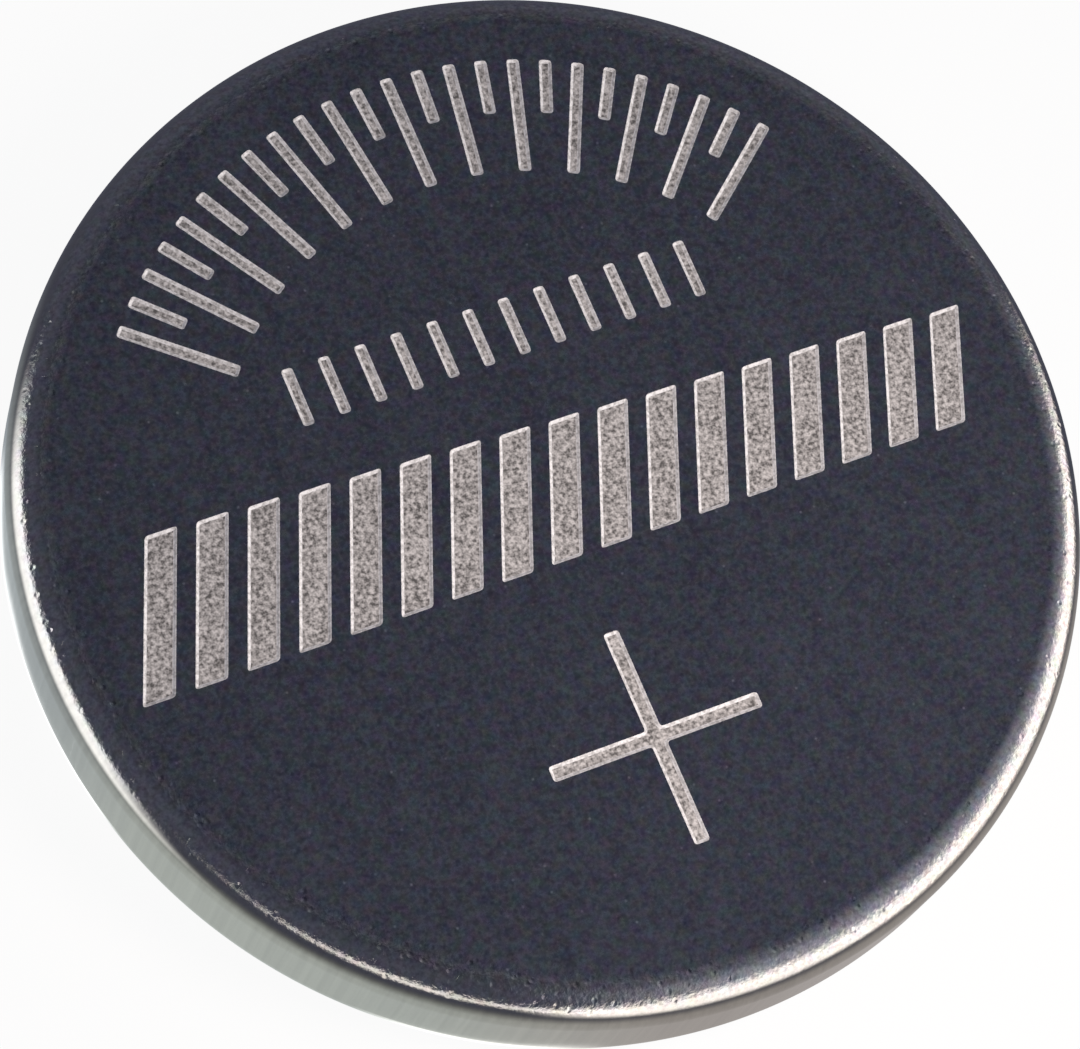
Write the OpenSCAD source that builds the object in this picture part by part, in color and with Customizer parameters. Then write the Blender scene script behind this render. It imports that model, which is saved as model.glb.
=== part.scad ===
// Lithium coin cell, 20 mm across and 3.2 mm thick, built as it would come apart on a bench.
//
// The cell lies on its negative cap. The origin is the centre of the cap's outer face, +Z runs to
// the positive face, and the marks on that face read upright with +X to the right. All sizes in mm.
//
// The closure is a crimp: the can's wall is curled inwards over a moulded ring, and the ring wraps
// the cap's stepped skirt, so the curl, the ring and the step share one centre and nest.

/* [Cell] */
// Diameter over the can's wall
cell_d = 20; // [19:0.5:24.5]
// Height from the cap's face to the positive face
cell_h = 3.2; // [2.6:0.1:5]

/* [Positive can] */
// Thickness of the can's sheet
can_t = 0.25; // [0.2:0.01:0.3]
// Radius inside the can's drawn corner, below the positive face
can_corner_r = 0.55; // [0.35:0.05:0.7]
// Height of the crimped lip above the surface that the cell lies on
lip_lift = 0.25; // [0.2:0.01:0.35]

/* [Negative cap] */
// Thickness of the cap's sheet
cap_t = 0.25; // [0.2:0.01:0.3]
// Radius inside the corner between the cap's face and its wall
cap_corner_r = 0.2; // [0.1:0.01:0.25]
// Radius outside the corner between the cap's wall and its ledge
neck_r = 0.15; // [0.08:0.01:0.18]
// Width of the flat part of the ledge
ledge_w = 0.1; // [0.05:0.05:0.5]
// Radius inside the corner between the ledge and the skirt
step_corner_r = 0.1; // [0.05:0.01:0.15]

/* [Sealing gasket] */
// Space between can and cap that the gasket fills
seal_gap = 0.3; // [0.22:0.01:0.35]
// Thickness of the gasket between the skirt's end and the can
seal_floor_t = 0.35; // [0.25:0.05:0.5]
// Thickness of the gasket's leg inside the skirt
seal_leg_t = 0.32; // [0.2:0.01:0.4]
// Length of the gasket's leg inside the skirt
seal_leg_h = 0.4; // [0.2:0.05:0.6]
// Distance of the gasket's visible edge above the lip's underside
seal_edge_lift = 0.08; // [0.02:0.01:0.2]
// Clearance between the gasket and the curved faces beside it
fit = 0.02; // [0.01:0.005:0.03]

/* [Inside] */
// Thickness of the lithium disc
lithium_t = 0.6; // [0.4:0.05:0.8]
// Distance of the lithium disc's edge from the end of the cap's flat floor
lithium_edge = 0.5; // [0.2:0.1:1]
// Thickness of the separator
separator_t = 0.15; // [0.05:0.05:0.2]
// Distance of the separator's edge from the cap's wall
separator_edge = 0.2; // [0.1:0.05:0.5]
// Distance of the pellet's edge from the gasket's leg
pellet_edge = 0.75; // [0.3:0.05:1.2]
// Bevel on the pellet's two edges
pellet_bevel = 0.15; // [0.05:0.05:0.3]
// Thickness of the collector's mesh
collector_t = 0.1; // [0.05:0.01:0.15]
// Width of the collector's plain rim
collector_rim = 0.5; // [0.3:0.1:1]
// Length of a diamond opening in the mesh
mesh_l = 1.9; // [1.5:0.1:2.5]
// Width of a diamond opening in the mesh
mesh_w = 1; // [0.8:0.1:1.5]
// Width of a strand of the mesh
mesh_strand = 0.22; // [0.15:0.01:0.3]

/* [Marks on the positive face] */
// Depth of the coined marks
mark_depth = 0.03; // [0.02:0.01:0.05]
// Length of each stroke of the polarity cross
cross_l = 4.16; // [3:0.1:5]
// Width of each stroke of the polarity cross
cross_w = 0.3; // [0.2:0.02:0.5]
// Distance of the cross's centre from the edge of the flat face
cross_inset = 4.15; // [3.6:0.05:4.6]
// Distance of the cross's centre to the left of the face's middle
cross_shift = 0.33; // [0:0.01:0.8]
// Distance of the scale's outer end from the edge of the flat face
scale_inset = 0.75; // [0.4:0.05:1]
// Length of the scale's long ticks
tick_l = 2.3; // [1.5:0.1:2.4]
// Length of the scale's short ticks
short_tick_l = 1.1; // [0.5:0.1:1.4]
// Width of the scale's ticks
tick_w = 0.24; // [0.14:0.02:0.3]
// Angle that the scale spans
scale_sweep = 102; // [60:1:120]
// Number of divisions of the scale
scale_steps = 24; // [12:2:28]
// Height of the dashes in the short row
dash_h = 1.15; // [0.6:0.05:1.2]
// Width of the dashes in the short row
dash_w = 0.22; // [0.14:0.02:0.3]
// Distance from one dash to the next
dash_pitch = 0.72; // [0.5:0.02:1]
// Distance of the row from the hatched band below it
row_gap = 1; // [0.6:0.05:1.1]
// Distance of the row's ends from the scale
row_clear = 0.75; // [0.5:0.05:1.5]
// Distance of the hatched band's ends from the edge of the flat face
band_inset = 0.9; // [0.7:0.05:1.5]
// Height of the hatched band at its left end
band_h = 2.95; // [2:0.05:3.1]
// Height of the hatched band at its right end
band_end_h = 2.2; // [1.5:0.05:3]
// Distance of the band's baseline below the face's centre
band_drop = 1.45; // [1.2:0.05:1.8]
// Width of the band's bars, measured along the baseline
bar_w = 0.62; // [0.3:0.02:0.7]
// Distance from one bar to the next
bar_pitch = 0.98; // [0.8:0.02:1.3]
// Angle by which the bars lean forward
bar_lean = 22; // [0:1:30]

/* [Hidden] */

$fn = 180;
cell_r = cell_d / 2;

// Can: a floor with the drawn corner, a wall, and the curled lip
floor_z = cell_h - can_t;
wall_r = cell_r - can_t;
can_bend_r = can_corner_r + can_t;
face_r = cell_r - can_bend_r;
face_bend_z = cell_h - can_bend_r;

// The curl, the gasket and the cap's step nest about one centre, from the inside out
step_bend_r = step_corner_r + cap_t;
curl_corner_r = step_bend_r + seal_gap;
curl_bend_r = curl_corner_r + can_t;
curl_r = cell_r - curl_bend_r;
curl_z = lip_lift + curl_bend_r;

// Cap: a face, a short wall, the ledge under the curl, and the skirt inside the can's wall
ledge_z = lip_lift + can_t + seal_gap;
cap_r = curl_r - ledge_w - neck_r;
cap_bend_r = cap_corner_r + cap_t;
cap_face_r = cap_r - cap_bend_r;
skirt_r = wall_r - seal_gap;
skirt_in_r = skirt_r - cap_t;
skirt_top_z = floor_z - seal_floor_t;

// Gasket: its edge shows between the lip and the cap's wall
seal_leg_r = skirt_in_r - fit - seal_leg_t;
seal_edge_z = lip_lift + seal_edge_lift;

// Stack inside, from the cap's floor up to the can's floor
separator_z = cap_t + lithium_t;
pellet_z = separator_z + separator_t;
collector_z = floor_z - collector_t;
lithium_r = cap_face_r - lithium_edge;
separator_r = cap_r - cap_t - separator_edge;
pellet_r = seal_leg_r - pellet_edge;
mesh_pitch_x = mesh_l + 2 * mesh_strand;
mesh_pitch_y = mesh_w + 2 * mesh_strand;
mesh_r = pellet_r - collector_rim;
mesh_rows = ceil(mesh_r / mesh_pitch_y);
mesh_columns = ceil(mesh_r / mesh_pitch_x);

// Marks: a scale round the top, a short row of dashes, a hatched band and the polarity cross
scale_r = face_r - scale_inset;
scale_in_r = scale_r - tick_l;
row_z0 = band_h - band_drop + row_gap;
row_half = sqrt(pow(scale_in_r, 2) - pow(row_z0 + dash_h, 2)) - row_clear;
dash_count = floor(2 * row_half / dash_pitch) + 1;
band_half = face_r - band_inset;
bar_count = floor((2 * band_half - bar_w) / bar_pitch) + 1;
cut_over = 0.1;

// Rectangle in the section plane, given by its radii and heights
module strip(r0, r1, z0, z1) {
  translate([r0, z0])
    square([r1 - r0, z1 - z0]);
}

// Quarter ring in the section plane. right and up say which quarter about its centre is kept.
module bend(r, z, inner_r, outer_r, right, up) {
  translate([r, z])
    intersection() {
      difference() {
        circle(outer_r);
        circle(inner_r);
      }
      translate([right ? 0 : -outer_r, up ? 0 : -outer_r])
        square(outer_r);
    }
}

// Quarter disc in the section plane
module quarter(r, z, outer_r, right, up) {
  translate([r, z])
    intersection() {
      circle(outer_r);
      translate([right ? 0 : -outer_r, up ? 0 : -outer_r])
        square(outer_r);
    }
}

// Drawn cup with its mouth down: face, corner, wall, and the lip curled through a right angle
module can_section() {
  strip(0, face_r, floor_z, cell_h);
  bend(face_r, face_bend_z, can_corner_r, can_bend_r, right = true, up = true);
  strip(wall_r, cell_r, curl_z, face_bend_z);
  bend(curl_r, curl_z, curl_corner_r, curl_bend_r, right = true, up = false);
}

// Stepped cap: face, wall, ledge under the curl, and skirt up inside the wall
module cap_section() {
  strip(0, cap_face_r, 0, cap_t);
  bend(cap_face_r, cap_bend_r, cap_corner_r, cap_bend_r, right = true, up = false);
  strip(cap_r - cap_t, cap_r, cap_bend_r, ledge_z - neck_r);
  bend(cap_r + neck_r, ledge_z - neck_r, neck_r, neck_r + cap_t, right = false, up = true);
  strip(cap_r + neck_r, curl_r, ledge_z, ledge_z + cap_t);
  bend(curl_r, curl_z, step_corner_r, step_bend_r, right = true, up = false);
  strip(skirt_in_r, skirt_r, curl_z, skirt_top_z);
}

// Gasket: visible edge, layer on the ledge, curl, wall, floor under the skirt's end, and inner leg
module gasket_section() {
  edge_r = cap_r + fit;
  lip_r = curl_r - fit;
  layer_z = lip_lift + can_t + fit;
  strip(edge_r, cap_r + neck_r, seal_edge_z, ledge_z - neck_r);
  quarter(cap_r + neck_r, ledge_z - neck_r, neck_r - fit, right = false, up = true);
  strip(cap_r + neck_r, lip_r, seal_edge_z, ledge_z - fit);
  strip(lip_r, curl_r, layer_z, ledge_z - fit);
  bend(curl_r, curl_z, step_bend_r + fit, curl_corner_r - fit, right = true, up = false);
  difference() {
    union() {
      strip(seal_leg_r, wall_r - fit, curl_z, face_bend_z + fit);
      quarter(face_r, face_bend_z + fit, can_corner_r - fit, right = true, up = true);
      strip(seal_leg_r, face_r, face_bend_z + fit, floor_z);
    }
    strip(skirt_in_r - fit, skirt_r + fit, curl_z - cut_over, skirt_top_z);
    strip(seal_leg_r - cut_over, skirt_in_r, curl_z - cut_over, skirt_top_z - seal_leg_h);
  }
}

// Upright cross that marks the positive side
module cross_mark() {
  translate([-cross_shift, cross_inset - face_r]) {
    square([cross_l, cross_w], center = true);
    square([cross_w, cross_l], center = true);
  }
}

// Arc of radial ticks, long and short by turns
module scale_mark() {
  for (i = [0 : scale_steps]) {
    length = i % 2 == 0 ? tick_l : short_tick_l;
    rotate(90 + scale_sweep * (0.5 - i / scale_steps))
      translate([scale_r - length, -tick_w / 2])
        square([length, tick_w]);
  }
}

// Short centred row of upright dashes
module row_mark() {
  for (i = [0 : dash_count - 1])
    translate([(i - (dash_count - 1) / 2) * dash_pitch - dash_w / 2, row_z0])
      square([dash_w, dash_h]);
}

// Hatched band of leaning bars, lower towards its right end
module band_mark() {
  for (i = [0 : bar_count - 1]) {
    height = band_h + (band_end_h - band_h) * i / (bar_count - 1);
    shift = height * tan(bar_lean);
    middle_x = (i - (bar_count - 1) / 2) * bar_pitch;
    translate([middle_x - (shift + bar_w) / 2, -band_drop])
      polygon([[0, 0], [bar_w, 0], [bar_w + shift, height], [shift, height]]);
  }
}

module positive_can() {
  color("#8d9097")
    difference() {
      rotate_extrude()
        can_section();
      translate([0, 0, cell_h - mark_depth])
        linear_extrude(mark_depth + cut_over) {
          cross_mark();
          scale_mark();
          row_mark();
          band_mark();
        }
    }
}

module negative_cap() {
  color("#b9bbba")
    rotate_extrude()
      cap_section();
}

module sealing_gasket() {
  color("#4d5350")
    rotate_extrude()
      gasket_section();
}

module cathode_pellet() {
  top_z = collector_z;
  color("#26262a")
    rotate_extrude()
      polygon([
        [0, pellet_z],
        [pellet_r - pellet_bevel, pellet_z],
        [pellet_r, pellet_z + pellet_bevel],
        [pellet_r, top_z - pellet_bevel],
        [pellet_r - pellet_bevel, top_z],
        [0, top_z]
      ]);
}

// Expanded mesh: rows of diamonds, every other row shifted by half a diamond, inside a plain rim
module cathode_collector() {
  color("#a3a6a8")
    translate([0, 0, collector_z])
      linear_extrude(collector_t)
        difference() {
          circle(pellet_r);
          for (row = [-2 * mesh_rows : 2 * mesh_rows], column = [-mesh_columns : mesh_columns]) {
            x = (column + (row % 2 == 0 ? 0 : 0.5)) * mesh_pitch_x;
            y = row * mesh_pitch_y / 2;
            if (norm([abs(x) + mesh_l / 2, y]) < mesh_r && norm([x, abs(y) + mesh_w / 2]) < mesh_r)
              translate([x, y])
                polygon([[-mesh_l / 2, 0], [0, -mesh_w / 2], [mesh_l / 2, 0], [0, mesh_w / 2]]);
          }
        }
}

module separator() {
  color("#efefea")
    translate([0, 0, separator_z])
      cylinder(h = separator_t, r = separator_r);
}

module lithium_anode() {
  color("#c9ccd0")
    translate([0, 0, cap_t])
      cylinder(h = lithium_t, r = lithium_r);
}

positive_can();
negative_cap();
sealing_gasket();
cathode_pellet();
cathode_collector();
separator();
lithium_anode();
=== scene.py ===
"""Lithium coin cell: finely turned shells, finishes and studio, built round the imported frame.

The cell lies on its negative cap with the positive face up. Sizes in the classes are millimetres
in the cell's own frame, +X along the baseline of the face's marks, and meshes are in metres.
"""
from __future__ import annotations

import logging
import math
from collections.abc import Callable
from dataclasses import dataclass, field, replace
from enum import IntEnum
from functools import partial

import bpy
import numpy as np
from bpy.types import ID, Material, Node, NodeSocket, NodeTree, Object, World
from mathutils import Matrix, Vector
from mathutils.geometry import delaunay_2d_cdt


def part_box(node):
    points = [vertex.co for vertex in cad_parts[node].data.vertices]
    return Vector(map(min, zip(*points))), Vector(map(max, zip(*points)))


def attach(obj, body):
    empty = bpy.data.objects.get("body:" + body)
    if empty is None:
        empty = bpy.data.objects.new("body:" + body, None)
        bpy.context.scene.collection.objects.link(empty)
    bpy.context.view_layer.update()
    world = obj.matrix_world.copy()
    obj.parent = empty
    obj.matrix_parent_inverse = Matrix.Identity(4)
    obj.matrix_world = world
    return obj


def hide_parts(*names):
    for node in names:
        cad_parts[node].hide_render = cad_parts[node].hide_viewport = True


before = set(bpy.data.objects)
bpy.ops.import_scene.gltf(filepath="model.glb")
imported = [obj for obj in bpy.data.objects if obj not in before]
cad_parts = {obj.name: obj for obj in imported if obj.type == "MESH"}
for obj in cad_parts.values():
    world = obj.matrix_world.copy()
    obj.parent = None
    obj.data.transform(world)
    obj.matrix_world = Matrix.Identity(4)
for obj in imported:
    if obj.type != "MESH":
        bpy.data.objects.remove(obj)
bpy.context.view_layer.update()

LOG = logging.getLogger("coin_cell")
MM = 0.001
UM = 0.001 * MM
BODY = "root"
SECTORS = 384
NOISE_MIDDLE = 0.5
EVEN = (1.0, 1.0, 1.0)

Adder = Callable[..., Node]
Triple = tuple[float, float, float]
Span = tuple[float, float]


# ---- nodes, colours and objects


def linear(hex_colour: str) -> tuple[float, float, float, float]:
    """Turns an sRGB hex colour into the linear values that the shaders take.

    Args:
        hex_colour: colour as "#rrggbb".

    Returns:
        Linear red, green, blue and an alpha of 1.
    """
    levels = [int(hex_colour[i : i + 2], 16) / 255 for i in (1, 3, 5)]
    channels = [v / 12.92 if v <= 0.04045 else ((v + 0.055) / 1.055) ** 2.4 for v in levels]
    return (*channels, 1.0)


def add_node(
    tree: NodeTree, kind: str, inputs: dict | list | tuple = (), operation: str = "", **settings: object
) -> Node:
    """Adds one node with its settings, and fills or links its inputs.

    Args:
        tree: node tree that gets the node.
        kind: class name of the node, without "ShaderNode".
        inputs: values by name, or a list of the first ones, for the inputs in use. Each is plain,
            an output to link, or a node, whose first output in use is linked.
        operation: the node's operation, if it has one.
        settings: other properties of the node itself.

    Returns:
        The new node.
    """
    node = tree.nodes.new(f"ShaderNode{kind}")
    if operation:
        node.operation = operation
    for name, value in settings.items():
        setattr(node, name, value)
    sockets = [socket for socket in node.inputs if socket.enabled]
    if isinstance(inputs, dict):
        sockets, inputs = [node.inputs[name] for name in inputs], inputs.values()
    for socket, value in zip(sockets, inputs):
        if isinstance(value, Node):
            value = next(output for output in value.outputs if output.enabled)
        if isinstance(value, NodeSocket):
            tree.links.new(value, socket)
        else:
            socket.default_value = value
    return node


def node_adder(owner: Material | World) -> Adder:
    """Empties the node tree of a material or of the world.

    Args:
        owner: the material or the world.

    Returns:
        A function that adds a node to that tree, as add_node does.
    """
    owner.use_nodes = True
    owner.node_tree.nodes.clear()
    return partial(add_node, owner.node_tree)


def add_object(name: str, data: ID) -> Object:
    """Makes an object and links it to the scene.

    Args:
        name: name of the object.
        data: its mesh, light or camera.

    Returns:
        The object.
    """
    made = bpy.data.objects.new(name, data)
    bpy.context.scene.collection.objects.link(made)
    return made


def circle(count: int) -> np.ndarray:
    """Returns points of the unit circle, one cosine and sine per row, anticlockwise from +X."""
    angles = np.linspace(0, 2 * math.pi, count, endpoint=False)
    return np.column_stack([np.cos(angles), np.sin(angles)])


def direction(azimuth: float, elevation: float) -> Vector:
    """Returns the unit vector towards an azimuth from +X and an elevation, both in degrees."""
    a, e = math.radians(azimuth), math.radians(elevation)
    return Vector((math.cos(a) * math.cos(e), math.sin(a) * math.cos(e), math.sin(e)))


# ---- finishes


@dataclass(frozen=True)
class Pattern:
    """A material's node tree while a finish fills it, and the place that its patterns read.

    The place is the Object coordinates, in metres.
    """

    add: Adder
    place: NodeSocket

    def grain(self, size_mm: float, squeeze: Triple = EVEN, turn: float = 0.0, **texture: float) -> Node:
        """Adds a noise with a grain of real size, even or drawn out in lines.

        Args:
            size_mm: size of the grain.
            squeeze: factors on X, Y and Z. A factor below 1 draws the noise out along its axis.
            turn: turn of the drawn out noise about Z, in radians.
            texture: the noise's other inputs, by name.

        Returns:
            The noise's node.
        """
        along = {"Vector": self.place, "Rotation": (0.0, 0.0, turn), "Scale": squeeze}
        inputs = {"Vector": self.add("Mapping", along), "Scale": 1 / (size_mm * MM), **texture}
        return self.add("TexNoise", inputs)

    def tones(self, value: Node, span: Span, first: str, last: str) -> Node:
        """Mixes two colours by a value.

        Args:
            value: the value's node.
            span: values at which only the first and only the last colour is left.
            first: hex colour at the span's start.
            last: hex colour at its end.

        Returns:
            The mixed colour's node.
        """
        share = self.add("MapRange", [value, *span])
        return self.add("Mix", [share, linear(first), linear(last)], data_type="RGBA")


@dataclass(frozen=True)
class Finish:
    """A surface finish: a named material with one Principled shader on Object coordinates."""

    name: str

    def sockets(self, pattern: Pattern) -> dict[str, object]:
        """Fills the finish's own pattern in, and returns what the shader's sockets get."""
        raise NotImplementedError

    def material(self) -> Material:
        """Builds the material.

        Returns:
            The material, with the finish's pattern on its shader.
        """
        material = bpy.data.materials.new(self.name)
        add = node_adder(material)
        place = add("TexCoord").outputs["Object"]
        shader = add("BsdfPrincipled", self.sockets(Pattern(add, place)))
        add("OutputMaterial", [shader])
        return material


@dataclass(frozen=True)
class NickelledSheet(Finish):
    """Nickel-plated stainless sheet, polished before it was drawn.

    The flat face has a smooth satin finish, and its colour is painted dark blue: a painted dark
    reflection that stands in for the dark surroundings which the face mirrors. It is mottled a
    little in tone and tint, with the faint curved smears of a cloth and a few bright specks that
    are painted glints. Towards the corner, where the sheet was drawn over the die, the satin and
    the painted dark reflection end, and the stretched metal is finely pebbled, with small dents
    from handling that glint. The wall below it is burnished smooth and bright, with the faint
    upright lines that the die left.
    """

    # Painted dark reflection: the face's dark and light colours stand in for the dark surroundings that
    # the face mirrors, and the mottle between them is at random.
    dark: str = "#4b4d58"
    light: str = "#6d6f78"
    # Painted glints: the colour of the bright specks in the face's painted dark reflection.
    speck: str = "#94949c"
    dull: str = "#a8a6a7"
    stretched: str = "#dddcd9"
    line: str = "#b6b4af"
    drawn: str = "#c3c1bb"
    span: Span = (0.3, 0.7)
    # Where the satin roughness and the painted dark reflection give way to the drawn metal, by radius
    # and by height.
    satin_and_shade_edge_mm: Span = (9.22, 9.6)
    satin_and_shade_level_mm: Span = (2.96, 3.04)
    pebble_edge_mm: Span = (8.95, 9.25)
    pebble_level_mm: Span = (2.8, 3.06)
    face_share: float = 0.16
    wall_share: float = 0.04
    face_roughness: Span = (0.2, 0.32)
    drawn_roughness: float = 0.1
    mottle_mm: float = 0.085
    tint_mm: float = 0.19
    tint: float = 0.27
    wipe_mm: float = 0.8
    stroke_mm: float = 2.4
    stroke_turn: float = 0.9
    wipe: float = 0.2
    line_mm: float = 0.13
    run_mm: float = 6.0
    speck_mm: float = 0.5
    speck_reach: float = 0.07
    speck_core: float = 0.2
    speck_choice: Span = (0.58, 0.88)
    dent_mm: float = 0.17
    dent_reach: float = 0.32
    dent_um: float = 9.0
    pebble_mm: float = 0.07
    pebble_um: float = 7.0

    def sockets(self, pattern: Pattern) -> dict[str, object]:
        """Keeps satin and painted dark reflection to the face; pebbled drawn metal shines round it.

        Args:
            pattern: the material's pattern.

        Returns:
            What the shader's sockets get, by name.
        """
        add, place = pattern.add, pattern.place
        flat = add("VectorMath", [place, (1.0, 1.0, 0.0)], "MULTIPLY")
        radius = add("VectorMath", [flat], "LENGTH")
        height = add("SeparateXYZ", [place]).outputs["Z"]
        within, upper, outer, corner = (
            add("MapRange", [value, low * MM, high * MM, *ends], interpolation_type="SMOOTHSTEP")
            for value, (low, high), ends in (
                (radius, self.satin_and_shade_edge_mm, (1.0, 0.0)),
                (height, self.satin_and_shade_level_mm, (0.0, 1.0)),
                (radius, self.pebble_edge_mm, (self.face_share, 1.0)),
                (height, self.pebble_level_mm, (self.wall_share, 1.0)),
            )
        )
        # Mask of the satin face: it sets the face's roughness and where its painted dark reflection
        # goes.
        satin_and_painted_shade = add("Math", [within, upper], "MULTIPLY")
        mottle = pattern.grain(self.mottle_mm, Detail=3.0, Roughness=0.6)
        satin = add("MapRange", [mottle, *self.span, *self.face_roughness])
        rough = add("MapRange", [satin_and_painted_shade, 0.0, 1.0, self.drawn_roughness, satin])

        pebble = add("Math", [pattern.grain(self.pebble_mm, Detail=3.0), NOISE_MIDDLE], "SUBTRACT")
        dents = self._specks(pattern, self.dent_mm, self.dent_reach)
        relief = add("Math", [dents, -self.dent_um / self.pebble_um, pebble], "MULTIPLY_ADD")
        share = add("Math", [outer, corner], "MULTIPLY")
        relief = add("Math", [relief, share], "MULTIPLY")

        squeeze = (1.0, self.wipe_mm / self.stroke_mm, 1.0)
        smears = pattern.grain(self.wipe_mm, squeeze, self.stroke_turn, Detail=2.0, Distortion=1.2)
        smears = add("Math", [smears, NOISE_MIDDLE], "SUBTRACT")
        wiped = add("Math", [smears, self.wipe, mottle], "MULTIPLY_ADD")
        # Painted glints: bright specks mixed into the face's colour.
        specks = self._specks(pattern, self.speck_mm, self.speck_reach)
        # Painted dark reflection: the face's mottled tone runs between its two dark colours.
        polished = pattern.tones(wiped, self.span, self.dark, self.light)
        face = add("Mix", [specks, polished, linear(self.speck)], data_type="RGBA")
        upright = pattern.grain(self.line_mm, (1.0, 1.0, self.line_mm / self.run_mm), Detail=3.0)
        wall = pattern.tones(upright, self.span, self.line, self.drawn)
        pebbled = pattern.tones(mottle, self.span, self.dull, self.stretched)
        drawn = add("Mix", [corner, wall, pebbled], data_type="RGBA")
        colour = add("Mix", [satin_and_painted_shade, drawn, face], data_type="RGBA")
        tint = add("Math", [corner, self.tint], "MULTIPLY")
        tinge = pattern.grain(self.tint_mm, Detail=0.0).outputs["Color"]
        tinged = add("Mix", [tint, colour, tinge], data_type="RGBA", blend_type="SOFT_LIGHT")
        return {
            "Base Color": tinged,
            "Metallic": 1.0,
            "Roughness": rough,
            "Normal": add("Bump", {"Height": relief, "Distance": self.pebble_um * UM}),
        }

    def _specks(self, pattern: Pattern, cell_mm: float, reach: float) -> Node:
        """Scatters specks: one cell in three holds one, at its own strength, in its middle.

        Args:
            pattern: the material's pattern.
            cell_mm: size of a cell.
            reach: the speck's radius, as a share of the cell.

        Returns:
            The specks' strength, 0 between them.
        """
        add = pattern.add
        size = {"Vector": pattern.place, "Scale": 1 / (cell_mm * MM)}
        cells = add("TexVoronoi", size, voronoi_dimensions="2D").outputs
        near = add("MapRange", [cells["Distance"], self.speck_core * reach, reach, 1.0, 0.0])
        chosen = add("MapRange", [cells["Color"], *self.speck_choice])
        return add("Math", [near, chosen], "MULTIPLY")


@dataclass(frozen=True)
class GrainFinish(Finish):
    """A finish whose tone, relief and gloss all follow one noise, even or drawn out in lines.

    The tone goes from the first colour to the last over the span of the noise. Each lay squeezes
    the noise's coordinates, and the greater of two crossed lays counts. The gloss is the noise's
    span and the roughness at its two ends, where the roughness isn't one of the plain values.
    """

    first: str
    last: str
    span: Span
    grain_mm: float
    texture: dict[str, float]
    plain: dict[str, float]
    lays: tuple[Triple, ...] = (EVEN,)
    gloss: tuple[float, ...] = ()
    depth_um: float = 0.0

    def sockets(self, pattern: Pattern) -> dict[str, object]:
        """Adds the noise, and the tone, the relief and the gloss that follow it.

        Args:
            pattern: the material's pattern.

        Returns:
            What the shader's sockets get, by name.
        """
        add = pattern.add
        noise, *others = [pattern.grain(self.grain_mm, lay, **self.texture) for lay in self.lays]
        for other in others:
            noise = add("Math", [noise, other], "MAXIMUM")
        filled = {"Base Color": pattern.tones(noise, self.span, self.first, self.last), **self.plain}
        if self.gloss:
            filled["Roughness"] = add("MapRange", [noise, *self.gloss])
        if self.depth_um:
            filled["Normal"] = add("Bump", {"Height": noise, "Distance": self.depth_um * UM})
        return filled


# Nickel struck by an etched die: a fine crystalline frost of pale crests and darker pits, which
# scatters light evenly with a matt, half metallic lustre.
FROSTED_NICKEL = GrainFinish(
    "frosted_nickel", "#656462", "#e2e1de", (0.31, 0.69), 0.068, {"Detail": 1.3, "Roughness": 0.6},
    {"Metallic": 0.25, "Roughness": 0.6}, depth_um=2.0,
)
# Rounded edge of a coined mark, satin, in a pale colour that is a painted highlight: it stands in
# for the light that the rounded edge catches all round each mark. It is a little duller here and there.
MARK_EDGE_PAINTED_HIGHLIGHT = GrainFinish(
    "mark_edge_painted_highlight", "#bebfbe", "#f2f4f4", (0.33, 0.6), 0.07, {"Detail": 2.0},
    {"Metallic": 0.2, "Roughness": 0.45},
)
# Cold-rolled stainless strip under thin nickel: fine straight lines along X, 0.03 mm wide and
# 2.5 mm long, left by the rolls.
ROLLED_STEEL = GrainFinish(
    "rolled_nickelled_steel", "#a19f99", "#b9b7b0", (0.35, 0.65), 0.03, {"Detail": 2.0},
    {"Metallic": 1.0}, lays=((0.03 / 2.5, 1.0, 1.0),), gloss=(0.3, 0.7, 0.22, 0.34), depth_um=0.4,
)
# Natural polypropylene darkened by a film of bitumen sealant, thicker in some places than others.
COATED_POLYPROPYLENE = GrainFinish(
    "sealant_coated_polypropylene", "#3b3f3d", "#5b605c", (0.35, 0.7), 0.5, {"Detail": 2.0},
    {"IOR": 1.49}, gloss=(0.35, 0.7, 0.36, 0.5),
)
# Manganese dioxide powder with graphite, pressed into a pellet: matt black, with the grains as a
# fine relief and a few lighter flakes.
PRESSED_POWDER = GrainFinish(
    "pressed_black_powder", "#1d1d20", "#3a3a40", (0.55, 0.75), 0.08, {"Detail": 3.0, "Roughness": 0.6},
    {"Roughness": 0.85}, depth_um=5.0,
)
# Non-woven polypropylene: fibres 0.02 mm wide and 0.4 mm long, crossed along X and Y and bonded
# into a soft white sheet.
NONWOVEN_SHEET = GrainFinish(
    "nonwoven_polypropylene", "#c9c8c1", "#e9e8e2", (0.4, 0.7), 0.02, {"Detail": 2.0},
    {"Roughness": 0.9}, lays=((0.02 / 0.4, 1.0, 1.0), (1.0, 0.02 / 0.4, 1.0)), depth_um=6.0,
)
# Soft lithium foil, silver where fresh and clouded a duller grey where it has begun to tarnish.
LITHIUM_FOIL = GrainFinish(
    "rolled_lithium_foil", "#96979c", "#c4c5c8", (0.35, 0.65), 1.2, {"Detail": 4.0},
    {"Metallic": 1.0}, gloss=(0.35, 0.65, 0.6, 0.35),
)


# ---- turned surfaces


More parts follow.
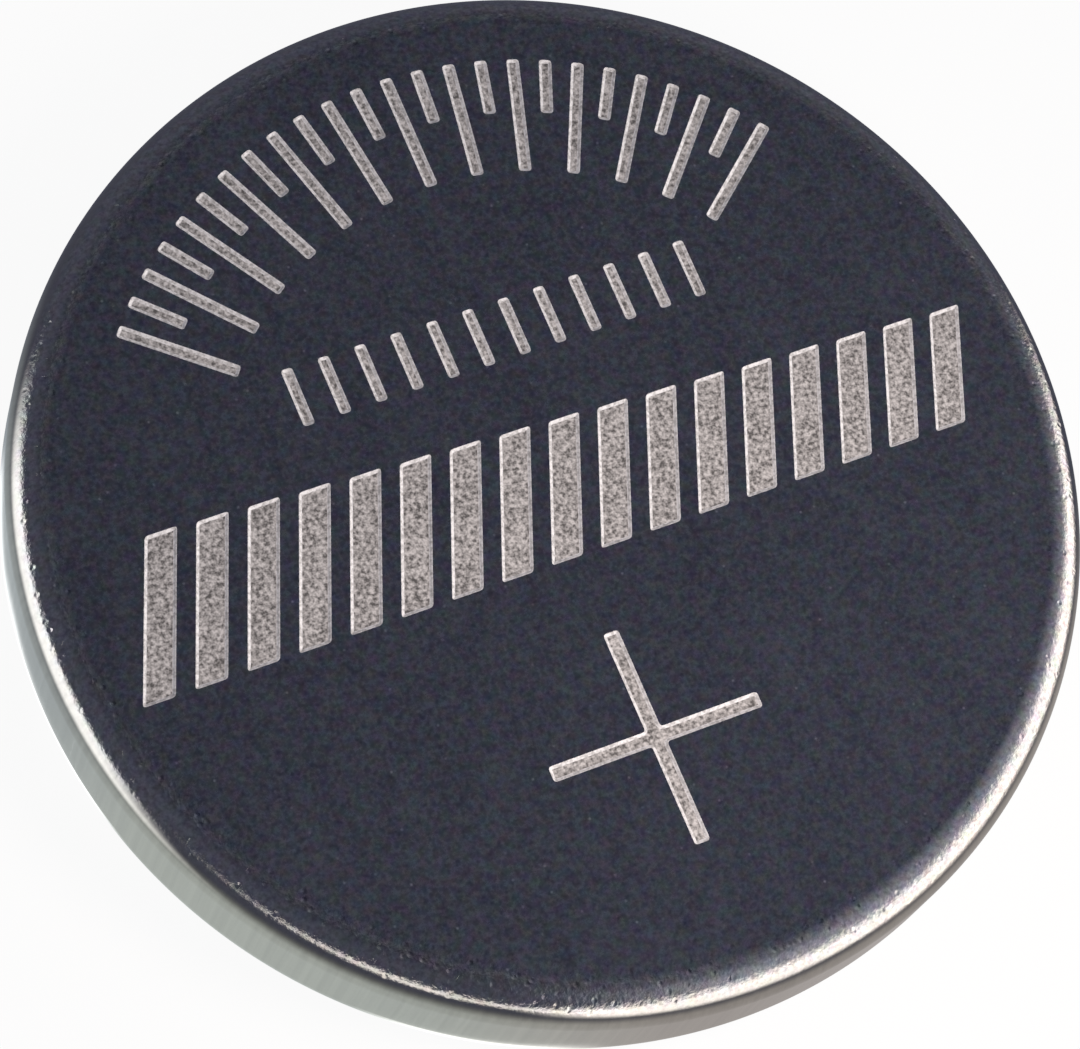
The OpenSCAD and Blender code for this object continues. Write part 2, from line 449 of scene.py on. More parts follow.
class SectionPath:
    """Outline of a turned section, walked with the material on its right-hand side.

    Radii and heights are in millimetres. Lines get a guard point near each end, so that a flat
    keeps its own shading up to the corner that follows it.
    """

    GUARD = 0.04

    def __init__(self, radius: float, height: float) -> None:
        """Starts the path at a radius and a height."""
        self._points: list[np.ndarray] = [np.array([[radius, height]])]

    def line(self, radius: float, height: float) -> SectionPath:
        """Runs straight to a point, with a guard point near either end.

        Args:
            radius: radius of the end.
            height: height of the end.

        Returns:
            The path, for the next step.
        """
        start, end = self._points[-1][-1], np.array([radius, height])
        length = float(np.hypot(*(end - start)))
        shares = [1.0]
        if length > 3 * self.GUARD:
            shares = [self.GUARD / length, 1 - self.GUARD / length, 1.0]
        self._points.append(start + np.outer(shares, end - start))
        return self

    def arc(self, centre: Span, start: float, end: float, steps: int) -> SectionPath:
        """Turns about a centre from one angle to another, at the last point's distance from it.

        A point is the centre plus the distance times the angle's cosine along the radius and
        its sine along the height.

        Args:
            centre: radius and height of the centre.
            start: angle of the last point, in degrees from the radius direction.
            end: angle of the arc's end, in degrees.
            steps: number of equal steps.

        Returns:
            The path, for the next step.
        """
        reach = float(np.hypot(*(self._points[-1][-1] - np.array(centre))))
        angles = np.radians(np.linspace(start, end, steps + 1)[1:])
        self._points.append(np.array(centre) + reach * np.column_stack([np.cos(angles), np.sin(angles)]))
        return self

    def points(self) -> np.ndarray:
        """Returns the path as an array with one radius and height per row."""
        return np.concatenate(self._points)


class Zone(IntEnum):
    """Zones of the can's surface, in the order of its finishes."""

    SHEET = 0
    EDGE = 1
    FLOOR = 2


@dataclass
class Shell:
    """Vertices and faces of one piece while it is being put together, in millimetres."""

    vertices: list[np.ndarray] = field(default_factory=list)
    faces: list[list[int]] = field(default_factory=list)
    zones: list[int] = field(default_factory=list)
    smooth: list[bool] = field(default_factory=list)
    count: int = 0

    def add_vertices(self, points: np.ndarray) -> np.ndarray:
        """Adds points.

        Args:
            points: array of x, y and z.

        Returns:
            The vertex numbers, in the points' own arrangement.
        """
        flat = points.reshape(-1, 3)
        numbers = np.arange(self.count, self.count + len(flat))
        self.vertices.append(flat)
        self.count += len(flat)
        return numbers.reshape(points.shape[:-1])

    def add_level(self, points: np.ndarray, height: float) -> np.ndarray:
        """Adds points of x and y at one height, and returns their vertex numbers."""
        return self.add_vertices(np.column_stack([points, np.full(len(points), height)]))

    def add_faces(self, columns: list[np.ndarray], zone: int = Zone.SHEET, smooth: bool = True) -> None:
        """Adds faces of one zone.

        Args:
            columns: first corners of all the faces, then the second ones, and so on.
            zone: number of the material slot.
            smooth: True for smooth shading.
        """
        rows = np.column_stack(columns).tolist()
        self.faces += rows
        self.zones += [zone] * len(rows)
        self.smooth += [smooth] * len(rows)

    def turn(self, path: np.ndarray, start_ring: np.ndarray | None = None, closed: bool = False) -> None:
        """Turns a section round the Z axis.

        Each point of the path becomes a ring: x is the radius times the cosine of the sector's
        angle, y the radius times its sine, and z the height. A point on the axis becomes a pole.

        Args:
            path: radii and heights.
            start_ring: vertex numbers of a ring that is already there at the path's first point.
            closed: True if the last ring joins the first.
        """
        on_axis = path[:, 0] < 1e-9
        rows = path[~on_axis]
        grid = np.empty((len(rows), SECTORS, 3))
        grid[..., :2] = rows[:, None, :1] * circle(SECTORS)
        grid[..., 2] = rows[:, 1:]
        if start_ring is None:
            rings = self.add_vertices(grid)
        else:
            rings = np.vstack([start_ring[None], self.add_vertices(grid[1:])])
        followers = np.roll(rings, -1, axis=0) if closed else rings[1:]
        for first, second in zip(rings, followers):
            self.add_faces([first, second, np.roll(second, -1), np.roll(first, -1)])
        if on_axis[0]:
            pole = self.add_vertices(np.array([[0.0, 0.0, path[0, 1]]])).repeat(SECTORS)
            self.add_faces([pole, rings[0], np.roll(rings[0], -1)])
        if on_axis[-1]:
            pole = self.add_vertices(np.array([[0.0, 0.0, path[-1, 1]]])).repeat(SECTORS)
            self.add_faces([rings[-1], pole, np.roll(rings[-1], -1)])

    def piece(self, name: str, node: str, slot: str, finishes: tuple[Finish, ...]) -> Object:
        """Makes the object, dresses it and lets it stand for its CAD node.

        Args:
            name: name of the piece.
            node: name of the CAD node that it replaces.
            slot: the record's material slot. Not used.
            finishes: one finish per zone.

        Returns:
            The finished object.
        """
        mesh = bpy.data.meshes.new(name)
        mesh.from_pydata((np.concatenate(self.vertices) * MM).tolist(), [], self.faces)
        mesh.polygons.foreach_set("material_index", np.array(self.zones, dtype=np.int32))
        mesh.polygons.foreach_set("use_smooth", np.array(self.smooth, dtype=bool))
        mesh.validate()
        mesh.update()
        for finish in finishes:
            mesh.materials.append(finish.material())
        piece = add_object(name, mesh)
        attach(piece, BODY)
        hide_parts(node)
        return piece


# ---- marks on the positive face


def box(left: float, low: float, right: float, high: float) -> np.ndarray:
    """Returns the corners of an upright box, anticlockwise from the lower left."""
    return np.array([[left, low], [right, low], [right, high], [left, high]])


def turned(points: np.ndarray, degrees: float) -> np.ndarray:
    """Returns points turned anticlockwise about the origin."""
    cosine, sine = math.cos(math.radians(degrees)), math.sin(math.radians(degrees))
    return points @ np.array([[cosine, sine], [-sine, cosine]])


@dataclass(frozen=True)
class FaceMarks:
    """Coined marks: a scale round the top, a row of dashes, a hatched band and the polarity cross.

    Every mark is a plain outline sunk a little into the face, with rounded corners and a rounded
    edge down to a frosted floor. Lengths are in millimetres and angles in degrees.
    """

    face_radius: float
    depth: float = 0.03
    cross_length: float = 4.16
    cross_width: float = 0.3
    cross_inset: float = 4.15
    cross_shift: float = 0.33
    scale_inset: float = 0.75
    tick_length: float = 2.3
    short_tick_length: float = 1.1
    tick_width: float = 0.24
    scale_sweep: float = 102.0
    scale_steps: int = 24
    dash_height: float = 1.15
    dash_width: float = 0.22
    dash_pitch: float = 0.72
    row_gap: float = 1.0
    row_clear: float = 0.75
    band_inset: float = 0.9
    band_height: float = 2.95
    band_end_height: float = 2.2
    band_drop: float = 1.45
    bar_width: float = 0.62
    bar_pitch: float = 0.98
    bar_lean: float = 22.0
    corner: float = 0.07
    corner_steps: int = 4
    edge_width: float = 0.062
    edge_steps: int = 5
    heart_inset: float = 0.095

    def _cross(self) -> list[np.ndarray]:
        """Draws the cross: one arm's three corners, turned by quarter turns.

        Returns:
            One outline with twelve corners.
        """
        arm, half = self.cross_length / 2, self.cross_width / 2
        quarter = np.array([[arm, -half], [arm, half], [half, half]])
        corners = np.concatenate([turned(quarter, degrees) for degrees in (0, 90, 180, 270)])
        return [corners + np.array([-self.cross_shift, self.cross_inset - self.face_radius])]

    def _scale(self) -> list[np.ndarray]:
        """Draws the ticks: boxes along the radius, turned by equal steps across the sweep.

        Returns:
            One outline with four corners per tick.
        """
        outer, half = self.face_radius - self.scale_inset, self.tick_width / 2
        ticks = []
        for step in range(self.scale_steps + 1):
            inner = outer - (self.short_tick_length if step % 2 else self.tick_length)
            degrees = 90 + self.scale_sweep * (0.5 - step / self.scale_steps)
            ticks.append(turned(box(inner, -half, outer, half), degrees))
        return ticks

    def _row(self) -> list[np.ndarray]:
        """Draws the centred dashes, as many as fit between the scale's ends.

        Returns:
            One outline with four corners per dash.
        """
        low = self.band_height - self.band_drop + self.row_gap
        high = low + self.dash_height
        scale_inner = self.face_radius - self.scale_inset - self.tick_length
        half = math.sqrt(scale_inner**2 - high**2) - self.row_clear
        count = math.floor(2 * half / self.dash_pitch) + 1
        lefts = (np.arange(count) - (count - 1) / 2) * self.dash_pitch - self.dash_width / 2
        return [box(left, low, left + self.dash_width, high) for left in lefts]

    def _band(self) -> list[np.ndarray]:
        """Draws the leaning bars, whose height falls evenly from the left end to the right.

        Returns:
            One outline with four corners per bar.
        """
        half = self.face_radius - self.band_inset
        count = math.floor((2 * half - self.bar_width) / self.bar_pitch) + 1
        bars = []
        for number in range(count):
            height = self.band_height + (self.band_end_height - self.band_height) * number / (count - 1)
            shift = height * math.tan(math.radians(self.bar_lean))
            middle = (number - (count - 1) / 2) * self.bar_pitch
            left = middle - (shift + self.bar_width) / 2
            bar = [[0, 0], [self.bar_width, 0], [self.bar_width + shift, height], [shift, height]]
            bars.append(np.array(bar) + np.array([left, -self.band_drop]))
        return bars

    def shapes(self) -> list[np.ndarray]:
        """Draws every mark, and returns the sharp corners of each."""
        return [*self._cross(), *self._scale(), *self._row(), *self._band()]

    def rounded(self, corners: np.ndarray) -> np.ndarray:
        """Rounds the corners of an outline.

        Each corner is replaced by a parabola that starts and ends a set distance before and
        after it: the corner, plus the way back times (1 - s) squared, plus the way on times s
        squared, for s from 0 to 1.

        Args:
            corners: corner points, anticlockwise.

        Returns:
            The rounded outline, anticlockwise, with as many points for each corner.
        """
        back = np.roll(corners, 1, axis=0) - corners
        ahead = np.roll(corners, -1, axis=0) - corners
        back *= self.corner / np.linalg.norm(back, axis=1, keepdims=True)
        ahead *= self.corner / np.linalg.norm(ahead, axis=1, keepdims=True)
        s = np.linspace(0, 1, self.corner_steps + 1)[None, :, None]
        bends = corners[:, None] + back[:, None] * (1 - s) ** 2 + ahead[:, None] * s**2
        return bends.reshape(-1, 2)

    @staticmethod
    def inset(outline: np.ndarray, distance: float) -> np.ndarray:
        """Moves an outline inwards by a distance, with mitred corners.

        A point moves along the sum of its two edges' inward normals, divided by one plus their
        product, which keeps both edges at the distance.

        Args:
            outline: points, anticlockwise.
            distance: how far each edge moves.

        Returns:
            The moved points, in the same order.
        """
        edge = np.roll(outline, -1, axis=0) - outline
        edge /= np.linalg.norm(edge, axis=1, keepdims=True)
        after = np.column_stack([-edge[:, 1], edge[:, 0]])
        before = np.roll(after, 1, axis=0)
        mitre = (after + before) / (1 + (after * before).sum(axis=1, keepdims=True))
        return outline + distance * mitre

    def sink(self, shell: Shell, corners: np.ndarray, ring: np.ndarray, top: float) -> None:
        """Sinks one mark: a rounded edge, and a frosted floor.

        The edge falls as 3 u squared minus 2 u cubed of the depth while u runs from 0 to 1
        across its width, so it is level at the face and at the floor. The floor is a border from
        the rounded outline to the sharp corners of its heart, and the heart as one face.

        Args:
            shell: the can's shell.
            corners: the mark's sharp corners.
            ring: vertex numbers of its rounded outline on the face.
            top: height of the face.
        """
        outline = self.rounded(corners)
        for step in range(1, self.edge_steps + 1):
            u = step / self.edge_steps
            height = top - self.depth * (3 * u**2 - 2 * u**3)
            below = shell.add_level(self.inset(outline, u * self.edge_width), height)
            shell.add_faces([ring, np.roll(ring, -1), np.roll(below, -1), below], Zone.EDGE)
            ring = below
        heart = shell.add_level(self.inset(corners, self.heart_inset), top - self.depth)
        bends = ring.reshape(len(corners), -1)
        fans = [bends[:, :-1].ravel(), bends[:, 1:].ravel(), np.repeat(heart, self.corner_steps)]
        sides = [bends[:, -1], np.roll(bends[:, 0], -1), np.roll(heart, -1), heart]
        for columns in (fans, sides, list(heart[:, None])):
            shell.add_faces(columns, Zone.FLOOR, smooth=False)


# ---- pieces of the cell


@dataclass(frozen=True)
class Crimp:
    """Sizes that the can, the gasket and the cap share at the rim, all from the can's box."""

    radius: float
    top: float
    lip: float
    can_sheet: float = 0.25
    can_corner: float = 0.55
    cap_sheet: float = 0.25
    cap_corner: float = 0.2
    neck: float = 0.15
    ledge: float = 0.1
    step_corner: float = 0.1
    seal_gap: float = 0.3
    seal_floor: float = 0.35
    seal_leg: float = 0.32
    seal_leg_height: float = 0.4
    seal_edge: float = 0.08
    fit: float = 0.02

    @property
    def face_radius(self) -> float:
        """Radius of the flat positive face."""
        return self.radius - self.can_corner - self.can_sheet

    @property
    def corner_centre(self) -> Span:
        """Radius and height of the centre of the can's drawn corner."""
        return self.face_radius, self.top - self.can_corner - self.can_sheet

    @property
    def curl_centre(self) -> Span:
        """Radius and height of the centre that the curl, the gasket and the step share."""
        bend = self.step_corner + self.cap_sheet + self.seal_gap + self.can_sheet
        return self.radius - bend, self.lip + bend

    @property
    def ledge_height(self) -> float:
        """Height of the cap's ledge above the surface that the cell lies on."""
        return self.lip + self.can_sheet + self.seal_gap

    @property
    def cap_radius(self) -> float:
        """Radius of the cap's wall."""
        return self.curl_centre[0] - self.ledge - self.neck

    @property
    def skirt_top(self) -> float:
        """Height of the skirt's end."""
        return self.top - self.can_sheet - self.seal_floor


class TurnedPiece:
    """A piece that is one section turned round the Z axis, and that stands for a CAD node."""

    name: str
    node: str
    slot: str
    finish: Finish
    closed: bool = False

    def section(self) -> SectionPath:
        """Draws the section, which runs from axis to axis unless it is closed."""
        raise NotImplementedError

    def build(self) -> Object:
        """Turns the section.

        Returns:
            The finished piece.
        """
        shell = Shell()
        shell.turn(self.section().points(), closed=self.closed)
        return shell.piece(self.name, self.node, self.slot, (self.finish,))


@dataclass(frozen=True)
class PositiveCan:
    """Drawn cup with its mouth down, its lip curled inwards, and its face coined with marks."""

    crimp: Crimp
    marks: FaceMarks
    lip_round: float = 0.05

    def section(self) -> SectionPath:
        """Draws the section, from the face's edge round the lip to the axis inside.

        Returns:
            The path.
        """
        c, bend = self.crimp, self.lip_round
        corner, (curl_r, curl_z) = c.corner_centre, c.curl_centre
        lip_top = c.lip + c.can_sheet
        path = SectionPath(c.face_radius, c.top)
        path.arc(corner, 90, 0, 24)
        path.line(c.radius, curl_z)
        path.arc((curl_r, curl_z), 0, -90, 24)
        path.arc((curl_r, c.lip + bend), -90, -180, 5)
        path.line(curl_r - bend, lip_top - bend)
        path.arc((curl_r, lip_top - bend), 180, 90, 5)
        path.arc((curl_r, curl_z), -90, 0, 16)
        path.line(c.radius - c.can_sheet, corner[1])
        path.arc(corner, 0, 90, 16)
        return path.line(0.0, c.top - c.can_sheet)

    def _face(self, shell: Shell) -> np.ndarray:
        """Lays the flat face round the marks, and sinks the marks into it.

        The face is the constrained Delaunay triangulation of the face's edge and the marks'
        outlines, without what lies inside a mark.

        Args:
            shell: the can's shell.

        Returns:
            Vertex numbers of the face's edge.
        """
        shapes = self.marks.shapes()
        edge = self.crimp.face_radius * circle(SECTORS)
        loops = [edge, *(self.marks.rounded(corners) for corners in shapes)]
        rings = [shell.add_level(loop, self.crimp.top) for loop in loops]
        points = [Vector(point) for point in np.concatenate(loops)]
        whole_hull, merge_distance, keep_numbers = 0, 1e-6, True
        _, _, triangles, sources, _, owners = delaunay_2d_cdt(
            points, [], [ring.tolist() for ring in rings], whole_hull, merge_distance, keep_numbers
        )
        plain = np.array([owner == [0] for owner in owners])
        shell.add_faces([np.array(sources)[:, 0][np.array(triangles)[plain]]], smooth=False)
        for corners, ring in zip(shapes, rings[1:]):
            self.marks.sink(shell, corners, ring, self.crimp.top)
        return rings[0]

    def build(self) -> Object:
        """Builds the face with its marks, and turns the rest of the cup round it.

        Returns:
            The finished can.
        """
        shell = Shell()
        rim = self._face(shell)
        shell.turn(self.section().points(), start_ring=rim)
        # The marks' rounded edges get a pale colour that is a painted highlight.
        finishes = (NickelledSheet("nickel_plated_steel"), MARK_EDGE_PAINTED_HIGHLIGHT, FROSTED_NICKEL)
        return shell.piece("can_shell", "positive_can", "can_nickel", finishes)


@dataclass(frozen=True)
class NegativeCap(TurnedPiece):
    """Stepped cap: face, short wall, ledge under the curl, and skirt inside the can's wall."""

    crimp: Crimp
    end_round: float = 0.04
    name: str = "cap_shell"
    node: str = "negative_cap"
    slot: str = "cap_nickel"
    finish: Finish = ROLLED_STEEL

    def section(self) -> SectionPath:
        """Draws the section, from the axis inside over the skirt's end to the axis outside.

        Returns:
            The path.
        """
        c, sheet, step = self.crimp, self.crimp.cap_sheet, self.crimp.curl_centre
        bend = c.cap_corner + sheet
        corner = (c.cap_radius - bend, bend)
        neck = (c.cap_radius + c.neck, c.ledge_height - c.neck)
        skirt_out = step[0] + c.step_corner + sheet
        end = c.skirt_top - self.end_round
        path = SectionPath(0.0, sheet)
        path.line(corner[0], sheet)
        path.arc(corner, -90, 0, 8)
        path.line(c.cap_radius - sheet, neck[1])
        path.arc(neck, 180, 90, 12)
        path.line(step[0], c.ledge_height + sheet)
        path.arc(step, -90, 0, 8)
        path.line(skirt_out - sheet, end)
        path.arc((skirt_out - sheet + self.end_round, end), 180, 90, 4)
        path.line(skirt_out - self.end_round, c.skirt_top)
        path.arc((skirt_out - self.end_round, end), 90, 0, 4)
        path.line(skirt_out, step[1])
        path.arc(step, 0, -90, 12)
        path.line(neck[0], c.ledge_height)
        path.arc(neck, 90, 180, 10)
        path.line(c.cap_radius, bend)
        path.arc(corner, 0, -90, 16)
        return path.line(0.0, 0.0)


@dataclass(frozen=True)
class SealingGasket(TurnedPiece):
    """Moulded ring that wraps the cap's skirt, is squeezed by the curl and shows beside the lip."""

    crimp: Crimp
    edge_round: float = 0.05
    name: str = "gasket_ring"
    node: str = "sealing_gasket"
    slot: str = "gasket_polypropylene"
    finish: Finish = COATED_POLYPROPYLENE
    closed: bool = True

    def section(self) -> SectionPath:
        """Draws the closed section, from the leg's inner foot round to the edge and back up.

        Returns:
            The path.
        """
        c, bend, step = self.crimp, self.edge_round, self.crimp.curl_centre
        neck = (c.cap_radius + c.neck, c.ledge_height - c.neck)
        corner = (c.corner_centre[0], c.corner_centre[1] + c.fit)
        skirt_out = step[0] + c.step_corner + c.cap_sheet + c.fit
        skirt_in = skirt_out - c.cap_sheet - 2 * c.fit
        leg, foot = skirt_in - c.seal_leg, c.skirt_top - c.seal_leg_height
        edge_in, edge_out, edge_z = c.cap_radius + c.fit, step[0] - c.fit, c.lip + c.seal_edge
        floor = c.top - c.can_sheet
        path = SectionPath(leg, foot)
        path.line(leg, floor)
        path.line(c.face_radius, floor)
        path.arc(corner, 90, 0, 12)
        path.line(c.radius - c.can_sheet - c.fit, step[1])
        path.arc(step, 0, -90, 12)
        path.line(edge_out, c.lip + c.can_sheet + c.fit)
        path.line(edge_out, edge_z + bend)
        path.arc((edge_out - bend, edge_z + bend), 0, -90, 5)
        path.line(edge_in + bend, edge_z)
        path.arc((edge_in + bend, edge_z + bend), -90, -180, 5)
        path.line(edge_in, neck[1])
        path.arc(neck, 180, 90, 8)
        path.line(step[0], c.ledge_height - c.fit)
        path.arc(step, -90, 0, 10)
        path.line(skirt_out, c.skirt_top)
        path.line(skirt_in, c.skirt_top)
        path.line(skirt_in, foot)
        return path.line(leg + 2 * SectionPath.GUARD, foot)


@dataclass(frozen=True)
class StackDisc(TurnedPiece):
    """One plain disc of the stack inside, turned to the size of its CAD node."""

    node: str
    slot: str
    finish: Finish
    bevel: float

    @property
    def name(self) -> str:
        """Name of the piece."""
        return f"{self.node}_disc"

    def section(self) -> SectionPath:
        """Draws the disc from its node's box, bevelled round both edges.

        Returns:
            The path.
        """
        low, high = (np.array(corner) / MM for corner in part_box(self.node))
        radius, bevel = high[0], self.bevel
        path = SectionPath(0.0, high[2])
        path.line(radius - bevel, high[2]).line(radius, high[2] - bevel)
        return path.line(radius, low[2] + bevel).line(radius - bevel, low[2]).line(0.0, low[2])


# ---- studio


@dataclass(frozen=True)
class SoftPanel:
    """A soft patch of light on the studio's dome, with edges that fade out.

    Angles are in degrees: the azimuth anticlockwise from +X, the elevation above the horizon.
    A negative elevation is a place on the floor, the further out the nearer it is to zero.
    """

    azimuth: float
    half_width: float
    low: float
    high: float
    strength: float
    colour: str = "#ffffff"
    side_fade: float = 10.0
    low_fade: float = 5.0
    high_fade: float = 5.0
    slant: float = 0.0

    def shade(self, add: Adder, azimuth: Node, elevation: Node) -> Node:
        """Adds the panel's light as nodes.

        The light is the strength times three S-shaped fades: one with the angle from the
        panel's middle, which slants with the elevation, one at its lower and one at its upper edge.

        Args:
            add: adds a node to the tree.
            azimuth: azimuth of the looked-at place, in radians.
            elevation: its elevation, in radians.

        Returns:
            The panel's light as a colour.
        """
        slanted = add("Math", [elevation, self.slant, azimuth], "MULTIPLY_ADD")
        away = add("Math", [slanted, math.radians(self.azimuth)], "SUBTRACT")
        wrapped = add("Math", [away, math.pi, -math.pi], "WRAP")
        off = add("Math", [wrapped], "ABSOLUTE")
        level = self.strength
        for angle, middle, reach, ends in (
            (off, self.half_width, self.side_fade, (1.0, 0.0)),
            (elevation, self.low, self.low_fade, (0.0, 1.0)),
            (elevation, self.high, self.high_fade, (1.0, 0.0)),
        ):
            span = (math.radians(middle - reach), math.radians(middle + reach))
            fade = add("MapRange", [angle, *span, *ends], interpolation_type="SMOOTHSTEP")
            level = add("Math", [fade, level], "MULTIPLY")
        return add("VectorMath", [linear(self.colour)[:3], level], "SCALE")


@dataclass(frozen=True)
class Surroundings:
    """All that the metal mirrors: a dark ceiling, soft panels, and the lit floor round the cell.

    The polished face mirrors a small grey patch of the ceiling, lighter to the right. A long
    warm panel stands at the front right and a white one at the left, both down to the floor, and
    nothing stands at the back, so that the far edge stays dark. The last six panels are the
    floor close by, which the wall and the curl mirror. The patch is round: it begins at the first
    angle of its reach from its middle and is full within the second.
    """

    ceiling: str = "#535563"
    patch_way: Span = (39.5, 66.9)
    patch_reach: Span = (40.0, 6.0)
    patch_strength: float = 0.2
    patch_colour: str = "#f6f7fd"
    panels: tuple[SoftPanel, ...] = (
        SoftPanel(-48, 55, -9, 17, 1.9, "#fff7f0", 8, 7, 6),
        SoftPanel(-98, 15, 4, 19, 1.4, "#fff7f0", 12, 4, 5, 2.2),
        SoftPanel(-46, 44, 14, 29, 0.9, "#fff4ea", 12, 4, 7),
        SoftPanel(-38, 46, 18, 60, 0.4, "#f6f4ff", 22, 8, 20),
        SoftPanel(160, 26, -24, 8, 1.8, "#ffffff", 10, 9, 7, 0.6),
        SoftPanel(0, 30, 50, 84, 0.22, "#f8f4f8", 14, 6, 8),
        SoftPanel(30, 24, -5, 45, 0.035, "#ffffff", 22, 15, 15),
        SoftPanel(-38, 26, -17, -3, 0.6, "#fff0e6", 8, 4, 5),
        SoftPanel(196, 52, -150, -28, 0.47, "#e9f4f1", 20, 5, 16),
        SoftPanel(218, 30, -150, -14, 0.16, "#e8eac5", 14, 5, 12),
        SoftPanel(292, 45, -150, -23, 0.37, "#fff3e3", 15, 5, 16),
        SoftPanel(160, 7, -170, -84.0, 1.3, "#fbfdff", 4, 5, 1.0),
        SoftPanel(180.5, 13.5, -170, -82.8, 1.3, "#fbfdff", 4, 5, 1.0),
        SoftPanel(241, 10, -170, -81.2, 1.2, "#ffffff", 5, 5, 1.0),
    )

    def shade(self, add: Adder, place: NodeSocket, elevation: Node) -> Node:
        """Adds up the ceiling and every soft panel.

        Args:
            add: adds a node to the tree.
            place: the looked-at place.
            elevation: its elevation, in radians.

        Returns:
            The light from that place, as a colour.
        """
        axes = add("SeparateXYZ", [place]).outputs
        azimuth = add("Math", [axes["Y"], axes["X"]], "ARCTAN2")
        light = add("CombineXYZ", list(linear(self.ceiling)[:3]))
        for panel in self.panels:
            part = panel.shade(add, azimuth, elevation)
            light = add("VectorMath", [light, part], "ADD")
        return light

    def patch(self, add: Adder, way: NodeSocket) -> Node:
        """Adds the light of the ceiling's patch.

        It is the strength times an S-shaped fade with the cosine of the angle from the patch's
        middle, which is the product of the two directions.

        Args:
            add: adds a node to the tree.
            way: direction that is looked in.

        Returns:
            The patch's light, as a colour.
        """
        near = add("VectorMath", [way, direction(*self.patch_way)], "DOT_PRODUCT")
        span = [math.cos(math.radians(angle)) for angle in self.patch_reach]
        level = add("MapRange", [near, *span, 0.0, self.patch_strength], interpolation_type="SMOOTHSTEP")
        return add("VectorMath", [linear(self.patch_colour)[:3], level], "SCALE")


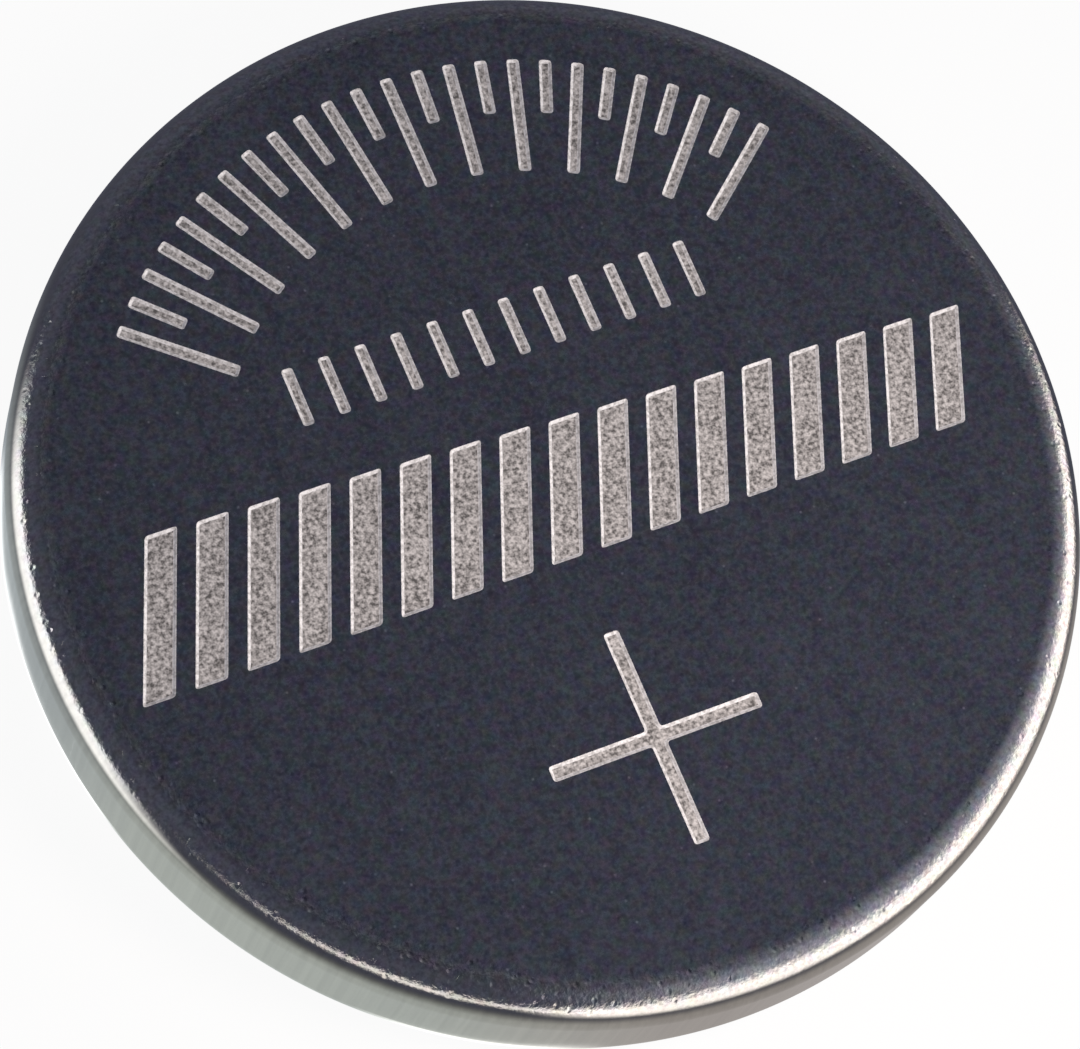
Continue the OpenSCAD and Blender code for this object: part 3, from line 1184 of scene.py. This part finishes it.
@dataclass(frozen=True)
class Studio:
    """Pale floor, dome, one small soft box close by and the camera.

    The soft box stands for a polarised lamp: it lights matt surfaces, and polished metal doesn't
    mirror it. It hangs so near the front of the cell that its light falls off across the face.
    """

    radius: float
    height: float
    contact_radius: float
    surroundings: Surroundings = Surroundings()
    lens: float = 140.0
    clip: Span = (0.001, 10.0)
    azimuth: float = -140.55
    elevation: float = 66.92
    roll: float = 29.15
    distance: float = 77.6
    offset: Span = (-0.096, -0.257)
    floor_reach: float = 700.0
    floor_sectors: int = 128
    floor_colour: str = "#f2f2f1"
    floor_whitening: float = 0.94
    shoulder_share: float = 0.8
    shoulder_inset: float = 0.1
    box_azimuth: float = -70.0
    box_elevation: float = 58.0
    box_distance: float = 30.0
    box_size: float = 12.0
    box_power: float = 0.0066
    box_colour: str = "#ffede4"

    def _floor(self) -> None:
        """Lays the floor round the cell's contact, as a ring of quads between two circles."""
        count = self.floor_sectors
        rings = [circle(count) * reach for reach in (self.contact_radius, self.floor_reach)]
        points = np.column_stack([np.concatenate(rings), np.zeros(2 * count)]) * MM
        inner = np.arange(count)
        quads = np.column_stack([inner, inner + count, np.roll(inner, -1) + count, np.roll(inner, -1)])
        mesh = bpy.data.meshes.new("studio_floor")
        mesh.from_pydata(points.tolist(), [], quads.tolist())
        mesh.materials.append(self._paper())
        add_object("studio_floor", mesh)

    def _paper(self) -> Material:
        """Makes the floor's white paper sweep.

        To the camera it is matt white with the cell's soft shadow. To polished metal it is the
        floor of the surroundings, where a place's elevation is minus the angle whose tangent is
        the shoulder's height over the distance from the rim. From below it is clear.

        Returns:
            The paper's material.
        """
        material = bpy.data.materials.new("matt_paper_sweep")
        add = node_adder(material)
        place = add("TexCoord").outputs["Object"]
        reach = add("VectorMath", [place], "LENGTH")
        rim = (self.radius - self.shoulder_inset) * MM
        beyond = add("Math", [reach, rim], "SUBTRACT")
        drop = -self.shoulder_share * self.height * MM
        elevation = add("Math", [drop, beyond], "ARCTAN2")
        light = self.surroundings.shade(add, place, elevation)
        rays = add("LightPath").outputs
        white = add("Math", [rays["Is Camera Ray"], self.floor_whitening], "MULTIPLY")
        surface = add("BsdfDiffuse", [linear(self.floor_colour)])
        for share, other in (
            (white, add("Emission", [(1, 1, 1, 1), 1.0])),
            (rays["Is Glossy Ray"], add("Emission", [light, 1.0])),
            (add("NewGeometry").outputs["Backfacing"], add("BsdfTransparent")),
        ):
            surface = add("MixShader", [share, surface, other])
        add("OutputMaterial", [surface])
        return material

    def _dome(self) -> None:
        """Lights the dome with the surroundings, and shows plain white to the camera."""
        world = bpy.data.worlds.new("studio_dome")
        bpy.context.scene.world = world
        add = node_adder(world)
        way = add("TexCoord").outputs["Generated"]
        height = add("SeparateXYZ", [way]).outputs["Z"]
        elevation = add("Math", [height], "ARCSINE")
        lights = [self.surroundings.shade(add, way, elevation), self.surroundings.patch(add, way)]
        dome = add("Background", [add("VectorMath", lights, "ADD"), 1.0])
        white = add("Background", [(1, 1, 1, 1), 1.0])
        seen = add("LightPath").outputs["Is Camera Ray"]
        add("OutputWorld", [add("MixShader", [seen, dome, white])])

    def _soft_box(self) -> None:
        """Hangs the soft box, which points at the middle of the cell."""
        way = direction(self.box_azimuth, self.box_elevation)
        data = bpy.data.lights.new("soft_box", "AREA")
        data.shape = "DISK"
        data.size = self.box_size * MM
        data.energy = self.box_power
        data.color = linear(self.box_colour)[:3]
        lamp = add_object("soft_box", data)
        lamp.location = way * self.box_distance * MM
        lamp.rotation_euler = way.to_track_quat("Z", "Y").to_euler()
        lamp.visible_glossy = lamp.visible_camera = False

    def _camera(self) -> None:
        """Places the camera on a ray from the cell's middle, rolled about its own line of sight."""
        back, roll = direction(self.azimuth, self.elevation), math.radians(self.roll)
        right = Vector((0, 0, 1)).cross(back).normalized()
        up = back.cross(right)
        side = right * math.cos(roll) + up * math.sin(roll)
        top = up * math.cos(roll) - right * math.sin(roll)
        place = Vector((0, 0, self.height / 2)) + back * self.distance
        place = (place + side * self.offset[0] + top * self.offset[1]) * MM
        data = bpy.data.cameras.new("studio_camera")
        data.lens = self.lens
        data.clip_start, data.clip_end = self.clip
        camera = add_object("studio_camera", data)
        camera.matrix_world = Matrix.Translation(place) @ Matrix((side, top, back)).transposed().to_4x4()
        bpy.context.scene.camera = camera

    def build(self) -> None:
        """Sets the camera, the floor, the dome, the soft box and the plain view transform."""
        self._camera()
        self._floor()
        self._dome()
        self._soft_box()
        bpy.context.scene.view_settings.view_transform = "Standard"


# ---- the whole cell


def main() -> None:
    """Builds the studio and the pieces in order, and reports each piece."""
    logging.basicConfig(level=logging.INFO, format="%(name)s: %(message)s")
    low, high = (np.array(corner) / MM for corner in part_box("positive_can"))
    crimp = Crimp(radius=float(high[0]), top=float(high[2]), lip=float(low[2]))
    Studio(crimp.radius, crimp.top, crimp.cap_radius - crimp.cap_corner - crimp.cap_sheet).build()
    makers = [
        PositiveCan(crimp, FaceMarks(crimp.face_radius)),
        NegativeCap(crimp),
        SealingGasket(crimp),
        StackDisc("cathode_pellet", "pressed_manganese_dioxide", PRESSED_POWDER, bevel=0.15),
        StackDisc("separator", "separator_nonwoven", NONWOVEN_SHEET, bevel=0.02),
        StackDisc("lithium_anode", "lithium_metal", LITHIUM_FOIL, bevel=0.05),
    ]
    for maker in makers:
        piece = maker.build()
        LOG.info("%s: %d faces", piece.name, len(piece.data.polygons))
    mesh_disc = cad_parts["cathode_collector"]
    mesh_disc.data.materials.clear()
    mesh_disc.data.materials.append(replace(ROLLED_STEEL, name="expanded_stainless_steel").material())
    LOG.info("%s: carried over", mesh_disc.name)


if __name__ == "__main__":
    main()
